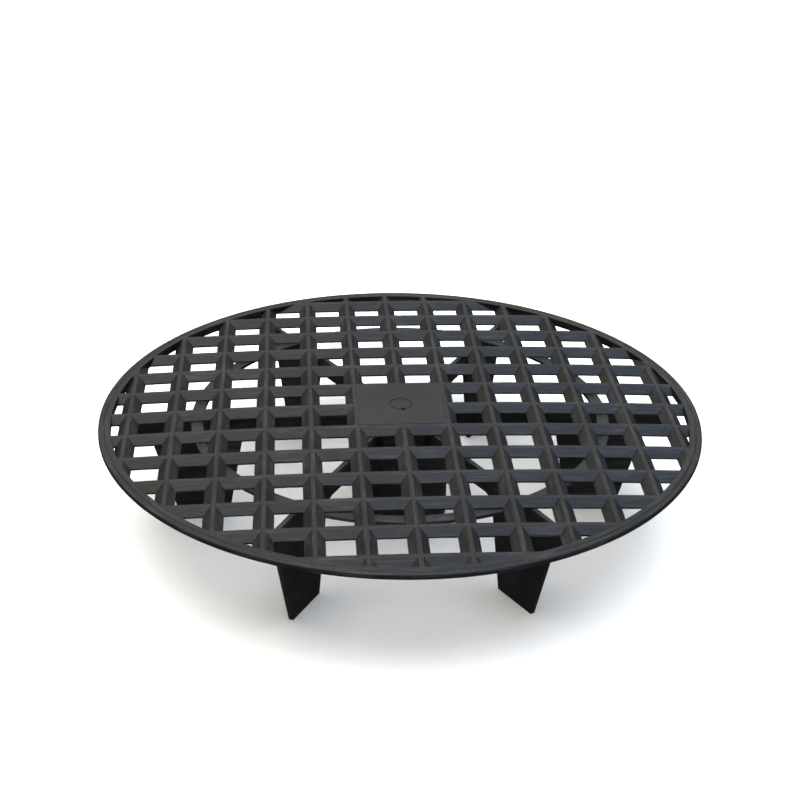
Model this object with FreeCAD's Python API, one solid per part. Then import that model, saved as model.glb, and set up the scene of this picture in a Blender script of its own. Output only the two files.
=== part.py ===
import FreeCAD, Part
import math
import os

# Round grid insert on six radial fins: a lipped ring filled with a square grid of tapered ribs,
# with a solid plate over the four middle cells, a low hoop and six upright fins under the grid,
# and an open tube in the middle that the fins run into.
# Millimetres, +Z up. The origin is on the floor, under the middle of the grid.
# Rows of ribs run along X and columns run along Y.

# Overall sizes. The grid is crowned: it rises from the rim to the middle.
outer_diameter = 260.0
rim_height = 50.0
grid_crown = 3.1

# Rim: a flat band inside, a fine groove, then a rounded lip outside
rim_width = 5.4
rim_band_width = 2.7
rim_band_chamfer = 0.25
rim_groove_depth = 0.5
rim_lip_drop = 0.15
rim_lip_shoulder = 1.4
rim_lip_height = 1.1
rim_lip_undercut = 0.8
rim_foot_width = 1.8

# Grid ribs: narrow on top, sloping flanks, then a short upright edge at the bottom
grid_pitch = 19.5
rib_top_width = 1.6
rib_bottom_width = 8.2
rib_depth = 3.7
rib_edge_height = 0.7
rib_set_down = 0.0
rib_lap_depth = 1.85

# Plate over the middle cells. It reaches this many cells from the middle each way.
plate_reach = 1
plate_thickness = 2.5
plate_ring_radius = 4.6
plate_ring_width = 0.5
plate_ring_depth = 0.3
gate_mark_radius = 0.9
gate_mark_depth = 1.4
gate_mark_x = 1.0
gate_mark_y = -5.0

# Hoop under the grid
hoop_radius = 88.0
hoop_width = 5.3
hoop_set_down = 3.4
hoop_below_ribs = 1.2

# Tube in the middle
tube_outer_diameter = 42.0
tube_wall = 2.0
tube_floor_gap = 1.0

# Fins: a web under the grid that widens into a leg
fin_count = 6
fin_thickness = 2.0
web_set_down = 3.4
web_bottom_drop = 9.2
shoulder_reach = 16.8
shoulder_angle = 30.0
leg_top_width = 39.5
leg_foot_width = 21.8
leg_foot_inset = 10.3
leg_fillet_radius = 6.0

# A piece counts as reaching below the ribs when it does so by more than this
fit_tolerance = 0.01

# Places that follow from the sizes above
outer_radius = outer_diameter / 2
grid_radius = outer_radius - rim_width
grid_edge_z = rim_height - rib_set_down
rim_bottom_z = grid_edge_z - rib_depth
crown_sphere_radius = (grid_radius ** 2 + grid_crown ** 2) / (2 * grid_crown)
rib_flank_depth = rib_depth - rib_edge_height
rib_flank_run = (rib_bottom_width - rib_top_width) / 2
plate_half = plate_reach * grid_pitch
tube_outer_radius = tube_outer_diameter / 2
rib_count_each_side = int((grid_radius - rib_bottom_width / 2) / grid_pitch)

UP = FreeCAD.Vector(0, 0, 1)
ORIGIN = FreeCAD.Vector(0, 0, 0)


def line(start, end):
    """A straight edge between two points."""
    return Part.LineSegment(start, end).toShape()


def arc(start, middle, end):
    """A round edge through three points."""
    return Part.Arc(start, middle, end).toShape()


def polygon_face(points):
    """A flat face with straight sides."""
    return Part.Face(Part.makePolygon(points + [points[0]]))


def disc(radius, z_low, z_high):
    """A solid cylinder about the vertical axis."""
    return Part.makeCylinder(radius, z_high - z_low, FreeCAD.Vector(0, 0, z_low), UP)


def ring(inner, outer, z_low, z_high):
    """A plain upright ring about the vertical axis."""
    return disc(outer, z_low, z_high).cut(disc(inner, z_low, z_high))


def grid_top_z(distance):
    """The height of the crowned grid's top at a distance from the middle."""
    drop = crown_sphere_radius - math.sqrt(crown_sphere_radius ** 2 - distance ** 2)
    return grid_edge_z + grid_crown - drop


def rib_half_width(depth):
    """Half the rib's width at a depth below its top."""
    if depth >= rib_flank_depth:
        return rib_bottom_width / 2
    return rib_top_width / 2 + rib_flank_run * depth / rib_flank_depth


def bar_end(index, is_row):
    """The crossing where a rib's bar ends, counted from the middle. A rib whose end at the rim
    falls on another rib's flank stops at that crossing: a row just past its middle, or a column
    just short of it. Any other bar runs on past the rim."""
    chord = math.sqrt(grid_radius ** 2 - (index * grid_pitch) ** 2)
    nearest = round(chord / grid_pitch)
    past_middle = chord - nearest * grid_pitch
    if not is_row:
        past_middle = -past_middle
    if nearest <= rib_count_each_side and 0 <= past_middle < rib_half_width(rib_lap_depth):
        return nearest
    return rib_count_each_side + 2


def rib_section(index, is_row, station, top_depth, bottom_depth):
    """The corners of the rib's section between two depths, at one crossing along it."""
    depths = [depth for depth in (top_depth, rib_flank_depth, bottom_depth) if top_depth <= depth <= bottom_depth]
    corners = [(rib_half_width(depth), depth) for depth in depths]
    corners += [(-half, depth) for half, depth in reversed(corners)]
    across = index * grid_pitch
    along = station * grid_pitch
    top_z = grid_top_z(math.hypot(across, along))
    if is_row:
        return [FreeCAD.Vector(along, across + half, top_z - depth) for half, depth in corners]
    return [FreeCAD.Vector(across + half, along, top_z - depth) for half, depth in corners]


def rib_bar(index, is_row, top_depth, bottom_depth):
    """A bar with the rib's section between two depths. It follows the crown in straight runs
    from crossing to crossing, and is as long as the rib or longer."""
    end = bar_end(index, is_row)
    sections = [rib_section(index, is_row, k, top_depth, bottom_depth) for k in range(-end, end + 1)]
    faces = [polygon_face(sections[0]), polygon_face(sections[-1])]
    for near, far in zip(sections, sections[1:]):
        for k in range(len(near)):
            faces.append(polygon_face([near[k - 1], near[k], far[k], far[k - 1]]))
    shell = Part.makeShell(faces)
    shell.sewShape()
    return Part.makeSolid(shell)


def whole_bar(index, is_row):
    """A rib's bar at its full depth."""
    return rib_bar(index, is_row, 0, rib_depth)


def indices():
    """The ribs' places each way, counted in cells from the middle."""
    return range(-rib_count_each_side, rib_count_each_side + 1)


def stops_at_plate(index):
    """A rib that would cross the plate is made as two, one on each side of it."""
    return abs(index) < plate_reach


def ribs_cross(index, other):
    """Two ribs cross, unless one of them stops at the plate before it reaches the other."""
    if stops_at_plate(index) and abs(other) <= plate_reach:
        return False
    if stops_at_plate(other) and abs(index) <= plate_reach:
        return False
    return True


def make_rib(index, is_row, side, rows):
    """One rib, half lapped where it crosses others: a row keeps the lower part of the crossing
    and a column is cut around the finished rows and stays clear beneath them. Side is 0 for a
    whole rib, or -1 or 1 for the part on that side of the plate."""
    rib = whole_bar(index, is_row).common(disc(grid_radius, 0, 2 * rim_height))
    if side:
        size = 2 * outer_radius
        middle = side * (plate_half + rib_top_width / 2 + outer_radius)
        low_x = middle - outer_radius if is_row else -outer_radius
        low_y = -outer_radius if is_row else middle - outer_radius
        rib = rib.common(Part.makeBox(size, size, size, FreeCAD.Vector(low_x, low_y, -outer_radius)))
        rib = rib.cut(whole_bar(side * plate_reach, not is_row))
    if not is_row:
        return rib.cut(rows + [rib_bar(other, True, rib_depth, 2 * rib_depth) for other in indices()])
    crossed = [other for other in indices() if ribs_cross(index, other)]
    return rib.cut([rib_bar(other, False, 0, rib_lap_depth) for other in crossed])


def make_rim():
    """The ring around the grid, turned from one section."""
    band_edge = grid_radius + rim_band_width
    groove_z = rim_height - rim_groove_depth
    lip_wall_z = rim_height - rim_lip_shoulder
    lip_foot_z = lip_wall_z - rim_lip_height
    foot_edge = grid_radius + rim_foot_width
    lip_width = outer_radius - band_edge
    turn = rim_lip_undercut * math.sqrt(0.5)

    def at(radius, z):
        return FreeCAD.Vector(radius, 0, z)

    inner_top = at(grid_radius, rim_height)
    inner_foot = at(grid_radius, rim_bottom_z)
    band_start = at(band_edge - rim_band_chamfer, rim_height)
    band_end = at(band_edge, rim_height - rim_band_chamfer)
    groove = at(band_edge, groove_z)
    crest = at(band_edge + lip_width / 2, rim_height - rim_lip_drop)
    wall_top = at(outer_radius, lip_wall_z)
    wall_foot = at(outer_radius, lip_foot_z)
    turn_middle = at(outer_radius - rim_lip_undercut + turn, lip_foot_z - turn)
    turn_end = at(outer_radius - rim_lip_undercut, lip_foot_z - rim_lip_undercut)
    edges = [
        line(inner_foot, inner_top),
        line(inner_top, band_start),
        line(band_start, band_end),
        line(band_end, groove),
        arc(groove, crest, wall_top),
        line(wall_top, wall_foot),
        arc(wall_foot, turn_middle, turn_end),
        line(turn_end, at(foot_edge, rim_bottom_z)),
        line(at(foot_edge, rim_bottom_z), inner_foot),
    ]
    return Part.Face(Part.Wire(edges)).revolve(ORIGIN, UP, 360)


def make_plate():
    """The plate over the middle cells, fitted between the ribs around it, with a plain shallow
    ring and a small round gate mark in its top."""
    half = plate_half - rib_top_width / 2
    top_z = grid_top_z(plate_half)
    corner = FreeCAD.Vector(-half, -half, top_z - plate_thickness)
    plate = Part.makeBox(2 * half, 2 * half, plate_thickness, corner)
    plate = plate.cut([whole_bar(end, is_row) for end in (-plate_reach, plate_reach) for is_row in (True, False)])
    ring_outer = plate_ring_radius + plate_ring_width
    plate = plate.cut(ring(plate_ring_radius, ring_outer, top_z - plate_ring_depth, top_z))
    gate = FreeCAD.Vector(gate_mark_x, gate_mark_y, top_z - gate_mark_depth)
    return plate.cut(Part.makeCylinder(gate_mark_radius, gate_mark_depth, gate, UP))


def clear_of_grid(shape, bars):
    """A piece under the grid, cut to fit beneath and between the ribs. Where two ribs cross, a
    bit of the piece that would stand only on their flanks is left off."""
    fitted = shape.cut(bars)
    base_z = shape.BoundBox.ZMin + fit_tolerance
    rooted = [solid for solid in fitted.Solids if solid.BoundBox.ZMin < base_z]
    return rooted[0] if len(rooted) == 1 else Part.makeCompound(rooted)


def hoop_blank():
    """The hoop before the ribs are cut out of it."""
    top_z = grid_top_z(hoop_radius)
    low_z = top_z - rib_depth - hoop_below_ribs
    return ring(hoop_radius - hoop_width / 2, hoop_radius + hoop_width / 2, low_z, top_z - hoop_set_down)


def make_tube():
    """The open tube in the middle, from just above the floor up to the plate."""
    inner = tube_outer_radius - tube_wall
    return ring(inner, tube_outer_radius, tube_floor_gap, grid_top_z(plate_half) - plate_thickness)


def corner_round(before, corner, after, radius):
    """The start, middle and end of the arc that rounds a corner of an outline."""
    to_before = (before - corner).normalize()
    to_after = (after - corner).normalize()
    half_angle = to_before.getAngle(to_after) / 2
    run = radius / math.tan(half_angle)
    bisector = (to_before + to_after).normalize()
    centre = corner + bisector * (radius / math.sin(half_angle))
    return corner + to_before * run, centre - bisector * radius, corner + to_after * run


def make_fin(angle):
    """One upright fin before the ribs are cut out of it: a web from the tube to the rim, which
    follows the crown, with a tapered leg under its outer part."""
    leg_outer = grid_radius - shoulder_reach
    leg_top_z = rim_bottom_z - shoulder_reach * math.tan(math.radians(shoulder_angle))
    leg_inner = leg_outer - leg_top_width
    foot_outer = leg_outer - leg_foot_inset
    foot_inner = foot_outer - leg_foot_width
    web_bottom_z = rim_height - web_bottom_drop

    def at(radius, z):
        return FreeCAD.Vector(radius, -fin_thickness / 2, z)

    foot = at(foot_inner, 0)
    inner_corner = at(leg_inner, web_bottom_z)
    web_start = at(0, web_bottom_z)
    arc_start, arc_middle, arc_end = corner_round(foot, inner_corner, web_start, leg_fillet_radius)
    web_end = grid_radius + fin_thickness
    stations = [k * grid_pitch for k in range(rib_count_each_side + 1)] + [web_end]
    outline = [at(radius, grid_top_z(radius) - web_set_down) for radius in stations]
    outline += [
        at(web_end, rim_bottom_z),
        at(grid_radius, rim_bottom_z),
        at(leg_outer, leg_top_z),
        at(foot_outer, 0),
        foot,
        arc_start,
    ]
    edges = [line(start, end) for start, end in zip(outline, outline[1:])]
    edges.append(arc(arc_start, arc_middle, arc_end))
    edges.append(line(arc_end, web_start))
    edges.append(line(web_start, outline[0]))
    fin = Part.Face(Part.Wire(edges)).extrude(FreeCAD.Vector(0, fin_thickness, 0))
    fin.rotate(ORIGIN, UP, angle)
    return fin.common(ring(tube_outer_radius, grid_radius, 0, 2 * rim_height)).cut(hoop_blank())


def rib_names(index, is_row):
    """The names and sides of the pieces that a rib is made as."""
    kind = "row_rib" if is_row else "column_rib"
    low_word, high_word = ("front", "back") if is_row else ("left", "right")
    if stops_at_plate(index):
        low_word, high_word = ("left", "right") if is_row else ("front", "back")
        place = "middle" if index == 0 else "inner_%d" % (index + plate_reach)
        return [("%s_%s_%s" % (kind, place, low_word), -1), ("%s_%s_%s" % (kind, place, high_word), 1)]
    word = high_word if index > 0 else low_word
    return [("%s_%s_%d" % (kind, word, abs(index)), 0)]


def make_parts():
    """Every piece by its name."""
    bars = [whole_bar(index, is_row) for index in indices() for is_row in (True, False)]
    parts = {"rim": make_rim(), "centre_plate": make_plate()}
    parts["centre_tube"] = make_tube().cut(bars)
    parts["hoop"] = clear_of_grid(hoop_blank(), bars)
    for number in range(fin_count):
        parts["fin_%d" % (number + 1)] = clear_of_grid(make_fin(number * 360.0 / fin_count), bars)
    rows = []
    for is_row in (True, False):
        for index in indices():
            for name, side in rib_names(index, is_row):
                parts[name] = make_rib(index, is_row, side, list(rows) if not is_row else [])
        if is_row:
            rows = [parts[name] for index in indices() for name, side in rib_names(index, True)]
    return parts


os.makedirs("parts", exist_ok=True)
for name, shape in make_parts().items():
    box = shape.BoundBox
    print("%-26s solids %d  volume %9.1f  valid %s  z %.2f to %.2f"
          % (name, len(shape.Solids), shape.Volume, shape.isValid(), box.ZMin, box.ZMax))
    shape.exportStep("parts/%s.step" % name)
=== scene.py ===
import math
import random

import bmesh
import bpy
from bpy.props import FloatProperty, FloatVectorProperty, IntProperty, PointerProperty
from bpy.types import Operator, Panel, PropertyGroup
from mathutils import Matrix, Vector


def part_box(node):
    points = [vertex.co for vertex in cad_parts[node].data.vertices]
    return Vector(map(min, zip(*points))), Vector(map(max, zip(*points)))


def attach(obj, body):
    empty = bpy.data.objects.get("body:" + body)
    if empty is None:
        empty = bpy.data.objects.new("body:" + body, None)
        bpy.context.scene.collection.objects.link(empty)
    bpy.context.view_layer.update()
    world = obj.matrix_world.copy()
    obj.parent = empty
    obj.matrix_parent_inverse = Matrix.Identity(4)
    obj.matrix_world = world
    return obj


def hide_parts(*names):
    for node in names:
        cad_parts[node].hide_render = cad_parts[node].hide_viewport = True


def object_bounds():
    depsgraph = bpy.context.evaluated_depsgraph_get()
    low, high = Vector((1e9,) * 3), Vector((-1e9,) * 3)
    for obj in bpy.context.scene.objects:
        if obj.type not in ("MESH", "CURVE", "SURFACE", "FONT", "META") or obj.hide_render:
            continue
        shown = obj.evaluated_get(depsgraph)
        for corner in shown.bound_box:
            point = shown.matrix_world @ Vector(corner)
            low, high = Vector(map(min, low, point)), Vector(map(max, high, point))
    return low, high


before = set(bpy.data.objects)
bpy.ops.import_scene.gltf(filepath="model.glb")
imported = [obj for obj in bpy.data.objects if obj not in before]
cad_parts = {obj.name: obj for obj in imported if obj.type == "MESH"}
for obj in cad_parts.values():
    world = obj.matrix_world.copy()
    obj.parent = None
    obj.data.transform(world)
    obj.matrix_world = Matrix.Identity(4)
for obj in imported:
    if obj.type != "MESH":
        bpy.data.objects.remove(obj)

bl_info = {
    "name": "Grid insert looks",
    "version": (1, 0, 0),
    "blender": (4, 5, 0),
    "location": "View3D > Sidebar > Grid insert",
    "description": "Moulded ribs, rim and details, materials and a plain studio for a grid insert on six fins",
    "category": "Object",
}

CAD_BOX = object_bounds()
MM = 0.001
CLOUD_SIZE = 28 * MM
SPECK_SIZE = 1.3 * MM
FIBRE_SIZE = 3 * MM
TOP_Z = CAD_BOX[1][2]
RING_RADIUS = (CAD_BOX[1][0] - CAD_BOX[0][0]) / 2
RIM_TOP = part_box("rim")[1][2]
RIM_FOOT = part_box("rim")[0][2]
RIB_DEPTH = RIM_TOP - RIM_FOOT


def middle(node, axis):
    """The middle of a node's box along one axis."""
    low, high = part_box(node)
    return (low[axis] + high[axis]) / 2


PITCH = middle("column_rib_right_1", 0)
RIB_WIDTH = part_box("column_rib_right_1")[1][0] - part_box("column_rib_right_1")[0][0]


def linear(hex_colour):
    """An sRGB hex colour as linear red, green and blue."""
    parts = [int(hex_colour[k:k + 2], 16) / 255 for k in (1, 3, 5)]
    return tuple(c / 12.92 if c <= 0.04045 else ((c + 0.055) / 1.055) ** 2.4 for c in parts)


def colour_property(name, description, hex_colour):
    """A colour setting with an sRGB hex default."""
    return FloatVectorProperty(
        name=name, description=description, default=linear(hex_colour), subtype="COLOR", size=3, min=0, max=1
    )


class PlasticSettings(PropertyGroup):
    """The black polypropylene of the whole moulding."""

    grid_colour: colour_property("Grid colour", "Colour of the ribs, the rim and the plate", "#161718")
    under_colour: colour_property("Underside colour", "Colour of the fins, the hoop and the tube", "#1A1A1C")
    streak_colour: colour_property("Flow line colour", "Paler lines where the melt ran", "#444547")
    dust_colour: colour_property("Dust colour", "Fine dust on the surfaces that face up", "#8B877D")
    roughness: FloatProperty(
        name="Roughness", description="Satin sheen of the moulded surface", default=0.42, min=0, max=1,
        subtype="FACTOR"
    )
    flow_length: FloatProperty(
        name="Flow line length", description="Typical length of a flow line", default=14 * MM, min=MM,
        unit="LENGTH"
    )
    flow_width: FloatProperty(
        name="Flow line width", description="Typical width of a flow line", default=0.9 * MM,
        min=0.1 * MM, unit="LENGTH"
    )
    grain_size: FloatProperty(
        name="Grain size", description="Size of the mould's fine texture", default=0.45 * MM,
        min=0.1 * MM, unit="LENGTH"
    )
    edge_radius: FloatProperty(
        name="Edge radius", description="Roundness of the moulded edges", default=0.3 * MM, min=0,
        unit="LENGTH"
    )
    dust: FloatProperty(
        name="Dust", description="How much dust lies on top", default=0.03, min=0, max=1, subtype="FACTOR"
    )


class GridSettings(PropertyGroup):
    """The ribs and the round pieces, with the moulded roundings that the plain solids leave out."""

    rim_width: FloatProperty(
        name="Rim width", description="Width of the rim, seen from above", default=5.4 * MM, min=MM,
        unit="LENGTH"
    )
    rib_top: FloatProperty(
        name="Rib top width", description="Width of a rib's top", default=1.6 * MM, min=0.5 * MM,
        unit="LENGTH"
    )
    rib_edge: FloatProperty(
        name="Rib edge height", description="Height of the upright edge under a rib's flank",
        default=0.7 * MM,
        min=0.1 * MM, unit="LENGTH",
    )
    top_round: FloatProperty(
        name="Top rounding", description="Radius along a rib's top", default=1.0 * MM, min=0.1 * MM,
        unit="LENGTH"
    )
    edge_round: FloatProperty(
        name="Edge rounding", description="Radius along the other moulded edges", default=0.25 * MM,
        min=0.05 * MM,
        unit="LENGTH",
    )
    root: FloatProperty(
        name="Root", description="How far a rib runs into the rim", default=1.0 * MM, min=0.1 * MM,
        unit="LENGTH"
    )
    segments: IntProperty(name="Segments", description="Sides of each round piece", default=480, min=48)


class GateSettings(PropertyGroup):
    """The stub of plastic that is left where the mould was filled."""

    width: FloatProperty(
        name="Width", description="Width of the stub", default=0.8 * MM, min=0.2 * MM, unit="LENGTH"
    )
    height: FloatProperty(
        name="Height", description="Height of the stub", default=0.8 * MM, min=0.2 * MM, unit="LENGTH"
    )
    depth: FloatProperty(
        name="Depth", description="Depth of the pit it stands in", default=1.4 * MM, min=0, unit="LENGTH"
    )
    place: FloatVectorProperty(
        name="Place", description="Where the gate is on the plate", default=(1.0 * MM, -5.0 * MM), size=2,
        unit="LENGTH"
    )
    seed: IntProperty(name="Seed", description="Which torn edge the stub has", default=4, min=0)


class StageSettings(PropertyGroup):
    """Floor, soft light and camera."""

    floor_size: FloatProperty(
        name="Floor size", description="Side of the square floor", default=12, min=1, unit="LENGTH"
    )
    floor_colour: colour_property("Floor colour", "Colour of the plain floor", "#F7F7F6")
    overhead: FloatProperty(
        name="Overhead light", description="Brightness of the sky above", default=1.6, min=0
    )
    low_band: FloatProperty(
        name="Low light", description="Brightness of the band of sky low down", default=1.1, min=0
    )
    fill: FloatProperty(
        name="Floor light", description="Strength of the soft light from above", default=3.8, min=0
    )
    back: FloatProperty(
        name="Back light", description="Power of the low window behind", default=4, min=0, unit="POWER"
    )
    camera_place: FloatVectorProperty(
        name="Camera place", description="Where the camera stands", default=(-0.0442, -0.6149, 0.3700),
        subtype="XYZ",
        unit="LENGTH",
    )
    camera_turn: FloatProperty(
        name="Camera turn", description="Heading to the right of straight back", default=math.radians(4.09),
        subtype="ANGLE",
    )
    camera_dip: FloatProperty(
        name="Camera dip", description="Angle down from level", default=math.radians(27.08), subtype="ANGLE"
    )
    camera_roll: FloatProperty(
        name="Camera roll", description="Lean about the line of sight", default=math.radians(0.86),
        subtype="ANGLE"
    )
    lens: FloatProperty(name="Lens", description="Focal length on a 36 mm sensor, in mm", default=71.75, min=10)


def add_node(tree, kind, inputs=None, **settings):
    """Adds a node. Settings go on the node itself, and each input takes a value or a socket to link."""
    made = tree.nodes.new(kind)
    for key, value in settings.items():
        setattr(made, key, value)
    for key, value in (inputs or {}).items():
        if isinstance(value, bpy.types.NodeSocket):
            tree.links.new(value, made.inputs[key])
        else:
            made.inputs[key].default_value = value
    return made


def new_tree(owner):
    """Clears an owner's node tree and returns it."""
    owner.use_nodes = True
    owner.node_tree.nodes.clear()
    return owner.node_tree


def stretched(low, high, to_low=0.0, to_high=1.0):
    """The four ends of a range that a value is stretched from and to."""
    return {"From Min": low, "From Max": high, "To Min": to_low, "To Max": to_high}


def flow_lines(tree, place, run, plastic):
    """Noise drawn out along the way the melt ran: along x, along y, around the ring or outward."""
    along = 1 / plastic.flow_length
    across = 1 / plastic.flow_width
    if run in ("along_x", "along_y"):
        scale = (along, across, across) if run == "along_x" else (across, along, across)
        vector = add_node(tree, "ShaderNodeVectorMath", {0: place, 1: scale}, operation="MULTIPLY").outputs[0]
        depth = 0.0
    else:
        split = add_node(tree, "ShaderNodeSeparateXYZ", {0: place}).outputs
        flat = add_node(tree, "ShaderNodeVectorMath", {0: place, 1: (1, 1, 0)}, operation="MULTIPLY").outputs[0]
        radius = add_node(tree, "ShaderNodeVectorMath", {0: flat}, operation="LENGTH").outputs["Value"]
        spoke = add_node(tree, "ShaderNodeVectorMath", {0: flat}, operation="NORMALIZE").outputs[0]
        turn, out = (along, across) if run == "around" else (across, along)
        turned = {0: spoke, 1: (RING_RADIUS * turn,) * 3}
        circled = add_node(tree, "ShaderNodeVectorMath", turned, operation="MULTIPLY").outputs[0]
        reach = add_node(tree, "ShaderNodeMath", {0: radius, 1: out}, operation="MULTIPLY").outputs[0]
        radial = add_node(tree, "ShaderNodeCombineXYZ", {2: reach}).outputs[0]
        vector = add_node(tree, "ShaderNodeVectorMath", {0: circled, 1: radial}, operation="ADD").outputs[0]
        depth = add_node(tree, "ShaderNodeMath", {0: split[2], 1: across}, operation="MULTIPLY").outputs[0]
    inputs = {"Vector": vector, "W": depth, "Scale": 1.0, "Detail": 3.0, "Roughness": 0.6}
    return add_node(tree, "ShaderNodeTexNoise", inputs, noise_dimensions="4D").outputs[0]


def plastic_colour(tree, place, lines, colour, plastic):
    """Black with paler flow lines, darker clouds and specks of dust on what faces up."""
    streaks = {"Value": lines, **stretched(0.50, 0.70, 0.0, 0.55)}
    streaks = add_node(tree, "ShaderNodeMapRange", streaks).outputs[0]
    streaked = {0: streaks, 6: (*colour, 1), 7: (*plastic.streak_colour, 1)}
    streaked = add_node(tree, "ShaderNodeMix", streaked, data_type="RGBA").outputs[2]

    clouds = {"Vector": place, "Scale": 1 / CLOUD_SIZE, "Detail": 2.0}
    clouds = add_node(tree, "ShaderNodeTexNoise", clouds).outputs[0]
    clouds = {"Value": clouds, **stretched(0.38, 0.66, 0.50, 0.0)}
    clouds = add_node(tree, "ShaderNodeMapRange", clouds).outputs[0]
    clouded = {0: clouds, 6: streaked, 7: (0, 0, 0, 1)}
    clouded = add_node(tree, "ShaderNodeMix", clouded, data_type="RGBA").outputs[2]

    normal = add_node(tree, "ShaderNodeNewGeometry").outputs["Normal"]
    facing = add_node(tree, "ShaderNodeSeparateXYZ", {0: normal}).outputs[2]
    upward = add_node(tree, "ShaderNodeMapRange", {"Value": facing, **stretched(0.55, 1.0)}).outputs[0]
    specks = {"Vector": place, "Scale": 1 / SPECK_SIZE, "Detail": 3.0, "Roughness": 0.7}
    specks = add_node(tree, "ShaderNodeTexNoise", specks).outputs[0]
    specks = add_node(tree, "ShaderNodeMapRange", {"Value": specks, **stretched(0.42, 0.72)}).outputs[0]
    settled = add_node(tree, "ShaderNodeMath", {0: upward, 1: specks}, operation="MULTIPLY").outputs[0]
    dust = add_node(tree, "ShaderNodeMath", {0: settled, 1: plastic.dust}, operation="MULTIPLY").outputs[0]
    dusted = {0: dust, 6: clouded, 7: (*plastic.dust_colour, 1)}
    return add_node(tree, "ShaderNodeMix", dusted, data_type="RGBA").outputs[2]


def plastic_normal(tree, place, lines, plastic):
    """Softened edges, then the mould's fine grain, then the relief of the flow lines."""
    rounded_edge = add_node(tree, "ShaderNodeBevel", {"Radius": plastic.edge_radius}, samples=4).outputs[0]
    grain = {"Vector": place, "Scale": 1 / plastic.grain_size, "Detail": 2.0}
    grain = add_node(tree, "ShaderNodeTexNoise", grain).outputs[0]
    fine = {"Strength": 0.25, "Distance": 0.05 * MM, "Height": grain, "Normal": rounded_edge}
    fine = add_node(tree, "ShaderNodeBump", fine).outputs[0]
    drawn = {"Strength": 0.35, "Distance": 0.10 * MM, "Height": lines, "Normal": fine}
    return add_node(tree, "ShaderNodeBump", drawn).outputs[0]


def polypropylene(name, run, colour, plastic):
    """Black polypropylene as it leaves an injection mould: a deep neutral black with a satin sheen,
    faint paler flow lines, an even fine grain, softened edges and a little dust on top. The mould's
    real grain is finer than can be seen from here, so it is drawn coarser."""
    material = bpy.data.materials.new(name)
    tree = new_tree(material)
    place = add_node(tree, "ShaderNodeTexCoord").outputs["Object"]
    lines = flow_lines(tree, place, run, plastic)
    low = max(plastic.roughness - 0.08, 0.05)
    roughness = {"Value": lines, **stretched(0.25, 0.75, low, low + 0.16)}
    shader = {
        "Base Color": plastic_colour(tree, place, lines, colour, plastic),
        "Roughness": add_node(tree, "ShaderNodeMapRange", roughness).outputs[0],
        "IOR": 1.49,
        "Normal": plastic_normal(tree, place, lines, plastic),
    }
    surface = add_node(tree, "ShaderNodeBsdfPrincipled", shader).outputs[0]
    add_node(tree, "ShaderNodeOutputMaterial", {"Surface": surface})
    return material


def dress(names, material):
    """Gives one material to every slot of the nodes whose names begin so."""
    found = [o for name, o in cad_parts.items() if name.startswith(names)]
    if not found:
        raise RuntimeError("no node's name begins with %s" % (names,))
    for piece in found:
        if not piece.material_slots:
            piece.data.materials.append(material)
        for own in piece.material_slots:
            own.material = material


def rounded(corners, steps=4):
    """An outline through corners given as (across, up, radius), each rounded by its radius."""
    outline = []
    for k, (x, z, radius) in enumerate(corners):
        here = Vector((x, z))
        if radius == 0:
            outline.append(here)
            continue
        before = Vector(corners[k - 1][:2]) - here
        after = Vector(corners[(k + 1) % len(corners)][:2]) - here
        half = before.angle(after) / 2
        reach = min(radius / math.tan(half), 0.45 * before.length, 0.45 * after.length)
        start = here + before.normalized() * reach
        end = here + after.normalized() * reach
        for step in range(steps + 1):
            t = step / steps
            outline.append(start * (1 - t) ** 2 + here * 2 * t * (1 - t) + end * t ** 2)
    return outline


def grid_top(distance, grid_radius):
    """The height of the crowned grid at a distance from the middle."""
    crown = (TOP_Z - RIM_TOP) / (1 - (PITCH / grid_radius) ** 2)
    return RIM_TOP + crown * (1 - (distance / grid_radius) ** 2)


def finish_piece(name, mesh, material, nodes):
    """Shades a mesh, gives it its material and puts it in the place of its CAD nodes."""
    mesh.materials.append(material)
    mesh.shade_smooth()
    mesh.set_sharp_from_angle(angle=math.radians(35))
    piece = link(name, mesh)
    even = piece.modifiers.new("even_shading", "WEIGHTED_NORMAL")
    even.keep_sharp = True
    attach(piece, "root")
    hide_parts(*nodes)
    return piece


def lathe(name, outline, segments, material, nodes):
    """A round piece: a closed outline of (radius, height) turned about the middle."""
    mesh = bpy.data.meshes.new(name)
    count = len(outline)
    points = []
    for turn in range(segments):
        angle = 2 * math.pi * turn / segments
        for radius, z in outline:
            points.append((radius * math.cos(angle), radius * math.sin(angle), z))
    faces = []
    for turn in range(segments):
        here = turn * count
        there = (turn + 1) % segments * count
        for k in range(count):
            after = (k + 1) % count
            faces.append((here + k, there + k, there + after, here + after))
    mesh.from_pydata(points, [], faces)
    tidy_normals(mesh)
    return finish_piece(name, mesh, material, nodes)


def tidy_normals(mesh):
    """Turns every face outward."""
    work = bmesh.new()
    work.from_mesh(mesh)
    bmesh.ops.recalc_face_normals(work, faces=work.faces)
    work.to_mesh(mesh)
    work.free()


def rib_outline(grid):
    """Half a rib's section from its top to its underside, then the other half mirrored."""
    top = grid.rib_top / 2
    wide = RIB_WIDTH / 2
    edge = -RIB_DEPTH + grid.rib_edge
    fine = grid.edge_round
    corners = [
        (-wide, -RIB_DEPTH, fine),
        (-wide, edge, fine),
        (-top, 0, grid.top_round),
        (top, 0, grid.top_round),
        (wide, edge, fine),
        (wide, -RIB_DEPTH, fine),
    ]
    return rounded(corners)


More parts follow.
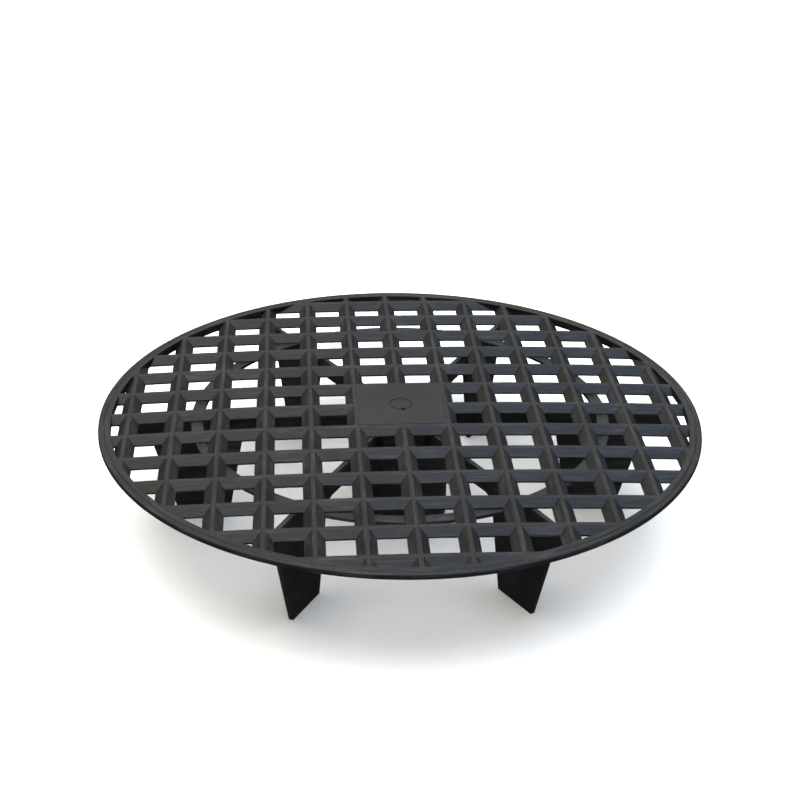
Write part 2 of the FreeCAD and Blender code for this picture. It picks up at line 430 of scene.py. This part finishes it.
def make_rib(node, material, grid):
    """One rib, run unbroken from rim to rim or from rim to plate, so that crossings have no seam."""
    is_row = node.startswith("row")
    low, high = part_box(node)
    run, across = (0, 1) if is_row else (1, 0)
    centre = middle(node, across)
    grid_radius = RING_RADIUS - grid.rim_width
    reach = grid_radius + grid.root
    split = "middle" in node
    side = math.copysign(1, middle(node, run)) if split else 0
    steps = max(8, round((high[run] - low[run]) / (4 * MM)))
    outline = rib_outline(grid)
    points = []
    for step in range(steps + 1):
        for offset, height in outline:
            end = math.sqrt(reach ** 2 - (centre + offset) ** 2)
            start = PITCH * side if split else -end
            stop = end * side if split else end
            along = start + (stop - start) * step / steps
            z = grid_top(math.hypot(along, centre), grid_radius) + height
            points.append((along, centre + offset, z) if is_row else (centre + offset, along, z))
    count = len(outline)
    faces = [tuple(range(count)), tuple(range(steps * count, (steps + 1) * count))]
    for step in range(steps):
        for k in range(count):
            after = (k + 1) % count
            first = step * count
            faces.append((first + k, first + after, first + count + after, first + count + k))
    mesh = bpy.data.meshes.new(node + "_moulded")
    mesh.from_pydata(points, [], faces)
    tidy_normals(mesh)
    return finish_piece(node + "_moulded", mesh, material, [node])


class GRIDINSERT_OT_ribs(Operator):
    """Mould the ribs, with rounded tops and flow lines that run along each rib"""

    bl_idname = "gridinsert.ribs"
    bl_label = "Mould the ribs"

    def execute(self, context):
        plastic = context.scene.grid_insert_plastic
        rows = polypropylene("polypropylene_moulded_rows", "along_x", plastic.grid_colour, plastic)
        columns = polypropylene("polypropylene_moulded_columns", "along_y", plastic.grid_colour, plastic)
        for node in sorted(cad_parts):
            if "_rib_" in node:
                make_rib(node, rows if node.startswith("row") else columns, context.scene.grid_insert_grid)
        return {"FINISHED"}


class GRIDINSERT_OT_rim(Operator):
    """Turn the rim: a flat band, a fine groove and a rounded lip, with flow lines round it"""

    bl_idname = "gridinsert.rim"
    bl_label = "Turn the rim"

    def execute(self, context):
        plastic = context.scene.grid_insert_plastic
        grid = context.scene.grid_insert_grid
        inner = RING_RADIUS - grid.rim_width
        band = inner + grid.rim_width / 2
        fine = grid.edge_round
        corners = [
            (inner, RIM_FOOT, fine),
            (inner, RIM_TOP, fine),
            (band - 0.2 * MM, RIM_TOP, fine),
            (band + 0.1 * MM, RIM_TOP - 0.35 * MM, 0.1 * MM),
            (band + 0.5 * MM, RIM_TOP - 0.05 * MM, 0.4 * MM),
            (RING_RADIUS - 0.2 * MM, RIM_TOP - 0.15 * MM, 1.3 * MM),
            (RING_RADIUS, RIM_TOP - 1.9 * MM, 0.6 * MM),
            (RING_RADIUS - 0.5 * MM, RIM_TOP - 2.6 * MM, 0.4 * MM),
            (inner + 2.4 * MM, RIM_FOOT, fine),
        ]
        material = polypropylene("polypropylene_moulded_rim", "around", plastic.grid_colour, plastic)
        lathe("rim_moulded", rounded(corners), grid.segments, material, ["rim"])
        return {"FINISHED"}


class GRIDINSERT_OT_plate(Operator):
    """Dress the middle plate, where the melt spread outward from the gate"""

    bl_idname = "gridinsert.plate"
    bl_label = "Dress the plate"

    def execute(self, context):
        plastic = context.scene.grid_insert_plastic
        material = polypropylene("polypropylene_moulded_plate", "outward", plastic.grid_colour, plastic)
        dress("centre_plate", material)
        return {"FINISHED"}


class GRIDINSERT_OT_underside(Operator):
    """Dress the fins, and turn the hoop and the tube under the grid"""

    bl_idname = "gridinsert.underside"
    bl_label = "Make the underside"

    def execute(self, context):
        plastic = context.scene.grid_insert_plastic
        grid = context.scene.grid_insert_grid
        dress("fin_", polypropylene("polypropylene_moulded_fins", "outward", plastic.under_colour, plastic))
        material = polypropylene("polypropylene_moulded_hoop", "around", plastic.under_colour, plastic)
        fine = grid.edge_round
        for node, width in (("hoop", 5.3 * MM), ("centre_tube", 2.0 * MM)):
            low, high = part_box(node)
            outer = high[0]
            inner = outer - width
            corners = [
                (inner, low[2], fine),
                (inner, high[2], fine),
                (outer, high[2], fine),
                (outer, low[2], fine),
            ]
            lathe(node + "_moulded", rounded(corners), grid.segments, material, [node])
        return {"FINISHED"}


class GRIDINSERT_OT_gate(Operator):
    """Leave the torn stub where the mould was filled"""

    bl_idname = "gridinsert.gate"
    bl_label = "Leave the gate stub"

    def execute(self, context):
        plastic = context.scene.grid_insert_plastic
        gate = context.scene.grid_insert_gate
        draw = random.Random(gate.seed)
        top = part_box("centre_plate")[1][2]
        work = bmesh.new()
        turned = Matrix.Translation((gate.place[0], gate.place[1], top - gate.depth + gate.height / 2))
        bmesh.ops.create_cone(
            work, cap_ends=True, segments=14, radius1=gate.width / 2, radius2=gate.width / 2.6, depth=gate.height,
            matrix=turned,
        )
        bmesh.ops.subdivide_edges(work, edges=work.edges[:], cuts=2, use_grid_fill=True)
        for point in work.verts:
            share = (point.co.z - top + gate.depth) / gate.height
            point.co.z += share * draw.uniform(-0.30, 0.20) * gate.height
            point.co.x += draw.uniform(-0.04, 0.04) * gate.width
            point.co.y += draw.uniform(-0.04, 0.04) * gate.width
        mesh = bpy.data.meshes.new("gate_stub")
        work.to_mesh(mesh)
        work.free()
        mesh.materials.append(
            polypropylene("polypropylene_torn_gate", "outward", plastic.streak_colour, plastic)
        )
        stub = link("gate_stub", mesh)
        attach(stub, "root")
        return {"FINISHED"}


class GRIDINSERT_OT_stage(Operator):
    """Lay the floor, light it softly and set the camera"""

    bl_idname = "gridinsert.stage"
    bl_label = "Set the stage"

    def execute(self, context):
        stage = context.scene.grid_insert_stage
        make_floor(stage)
        make_sky(context.scene, stage)
        make_lights(stage)
        make_camera(context.scene, stage)
        context.scene.view_settings.view_transform = "Standard"
        return {"FINISHED"}


def link(name, data):
    """A new object in the scene."""
    made = bpy.data.objects.new(name, data)
    bpy.context.scene.collection.objects.link(made)
    return made


def make_floor(stage):
    """A plain matt floor in one sheet."""
    mesh = bpy.data.meshes.new("floor")
    half = stage.floor_size / 2
    corners = [(-half, -half, 0), (half, -half, 0), (half, half, 0), (-half, half, 0)]
    mesh.from_pydata(corners, [], [(0, 1, 2, 3)])
    material = bpy.data.materials.new("floor_matt_paper")
    tree = new_tree(material)
    place = add_node(tree, "ShaderNodeTexCoord").outputs["Object"]
    fibres = {"Vector": place, "Scale": 1 / FIBRE_SIZE, "Detail": 3.0}
    fibres = add_node(tree, "ShaderNodeTexNoise", fibres).outputs[0]
    fibres = {"Value": fibres, **stretched(0.3, 0.7, 0.0, 0.03)}
    fibres = add_node(tree, "ShaderNodeMapRange", fibres).outputs[0]
    toned = {0: fibres, 6: (*stage.floor_colour, 1), 7: (0.7, 0.7, 0.7, 1)}
    toned = add_node(tree, "ShaderNodeMix", toned, data_type="RGBA").outputs[2]
    inputs = {"Base Color": toned, "Roughness": 0.95, "Specular IOR Level": 0.1}
    shader = add_node(tree, "ShaderNodeBsdfPrincipled", inputs).outputs[0]
    add_node(tree, "ShaderNodeOutputMaterial", {"Surface": shader})
    mesh.materials.append(material)
    floor = link("floor", mesh)
    floor.visible_glossy = False


def make_sky(scene, stage):
    """A soft sky: bright overhead, cool to the right and warm to the left, with a low bright band."""
    world = bpy.data.worlds.new("soft_sky")
    scene.world = world
    tree = new_tree(world)
    place = add_node(tree, "ShaderNodeTexCoord").outputs["Generated"]
    split = add_node(tree, "ShaderNodeSeparateXYZ", {0: place}).outputs
    cool = add_node(tree, "ShaderNodeMapRange", {"Value": split[0], **stretched(-0.18, 0.18)}).outputs[0]
    overhead = {0: cool, 6: (1.22, 1.06, 0.72, 1), 7: (0.52, 0.76, 1.22, 1)}
    overhead = add_node(tree, "ShaderNodeMix", overhead, data_type="RGBA").outputs[2]
    upper = add_node(tree, "ShaderNodeMapRange", {"Value": split[2], **stretched(0.6, 0.8)}).outputs[0]
    tint = {0: upper, 6: (1.0, 0.99, 0.94, 1), 7: overhead}
    tint = add_node(tree, "ShaderNodeMix", tint, data_type="RGBA").outputs[2]
    horizon = {"Value": split[2], **stretched(0.24, 0.38, 0.05, stage.low_band)}
    horizon = add_node(tree, "ShaderNodeMapRange", horizon).outputs[0]
    dimmed = {"Value": split[2], **stretched(0.43, 0.58, 1.0, 0.30)}
    dimmed = add_node(tree, "ShaderNodeMapRange", dimmed).outputs[0]
    low = add_node(tree, "ShaderNodeMath", {0: horizon, 1: dimmed}, operation="MULTIPLY").outputs[0]
    high = {"Value": split[2], **stretched(0.70, 0.90, 0.0, stage.overhead)}
    high = add_node(tree, "ShaderNodeMapRange", high).outputs[0]
    strength = add_node(tree, "ShaderNodeMath", {0: low, 1: high}, operation="ADD").outputs[0]
    shader = add_node(tree, "ShaderNodeBackground", {"Color": tint, "Strength": strength}).outputs[0]
    add_node(tree, "ShaderNodeOutputWorld", {"Surface": shader})


def make_lights(stage):
    """A wide soft light from above for the floor, and a low wide window behind. Neither glints."""
    fill = bpy.data.lights.new("floor_light", "SUN")
    fill.energy = stage.fill
    fill.angle = math.radians(70)
    overhead = link("floor_light", fill)
    overhead.visible_glossy = False
    window = bpy.data.lights.new("back_window", "AREA")
    window.energy = stage.back
    window.shape = "RECTANGLE"
    window.size = 1.6
    window.size_y = 0.3
    low = link("back_window", window)
    low.location = (0, 1.2, 0.45)
    aim = Vector((0, 0.05, 0)) - low.location
    low.rotation_euler = aim.to_track_quat("-Z", "Y").to_euler()
    low.visible_glossy = False


def make_camera(scene, stage):
    """The camera, from its heading, dip and roll."""
    data = bpy.data.cameras.new("camera")
    data.sensor_width = 36
    data.lens = stage.lens
    data.clip_start = 0.01
    data.clip_end = 50
    camera = link("camera", data)
    turn = Matrix.Rotation(-stage.camera_turn, 4, "Z")
    dip = Matrix.Rotation(math.pi / 2 - stage.camera_dip, 4, "X")
    roll = Matrix.Rotation(stage.camera_roll, 4, "Z")
    camera.matrix_world = Matrix.Translation(stage.camera_place) @ turn @ dip @ roll
    scene.camera = camera


class GRIDINSERT_PT_panel(Panel):
    """Lists the operators and their settings in the sidebar"""

    bl_idname = "GRIDINSERT_PT_panel"
    bl_label = "Grid insert"
    bl_space_type = "VIEW_3D"
    bl_region_type = "UI"
    bl_category = "Grid insert"

    def draw(self, context):
        for operator in OPERATORS:
            self.layout.operator(operator.bl_idname)
        for name in SETTINGS:
            settings = getattr(context.scene, name)
            box = self.layout.box()
            for key in settings.__annotations__:
                box.prop(settings, key)


OPERATORS = (
    GRIDINSERT_OT_ribs,
    GRIDINSERT_OT_rim,
    GRIDINSERT_OT_plate,
    GRIDINSERT_OT_underside,
    GRIDINSERT_OT_gate,
    GRIDINSERT_OT_stage,
)
SETTINGS = {
    "grid_insert_plastic": PlasticSettings,
    "grid_insert_grid": GridSettings,
    "grid_insert_gate": GateSettings,
    "grid_insert_stage": StageSettings,
}


def register():
    for cls in (*SETTINGS.values(), *OPERATORS, GRIDINSERT_PT_panel):
        bpy.utils.register_class(cls)
    for name, cls in SETTINGS.items():
        setattr(bpy.types.Scene, name, PointerProperty(type=cls))


def unregister():
    for name in SETTINGS:
        delattr(bpy.types.Scene, name)
    for cls in reversed((*SETTINGS.values(), *OPERATORS, GRIDINSERT_PT_panel)):
        bpy.utils.unregister_class(cls)


def main():
    register()
    for operator in OPERATORS:
        family, name = operator.bl_idname.split(".")
        getattr(getattr(bpy.ops, family), name)()


if __name__ == "__main__":
    main()
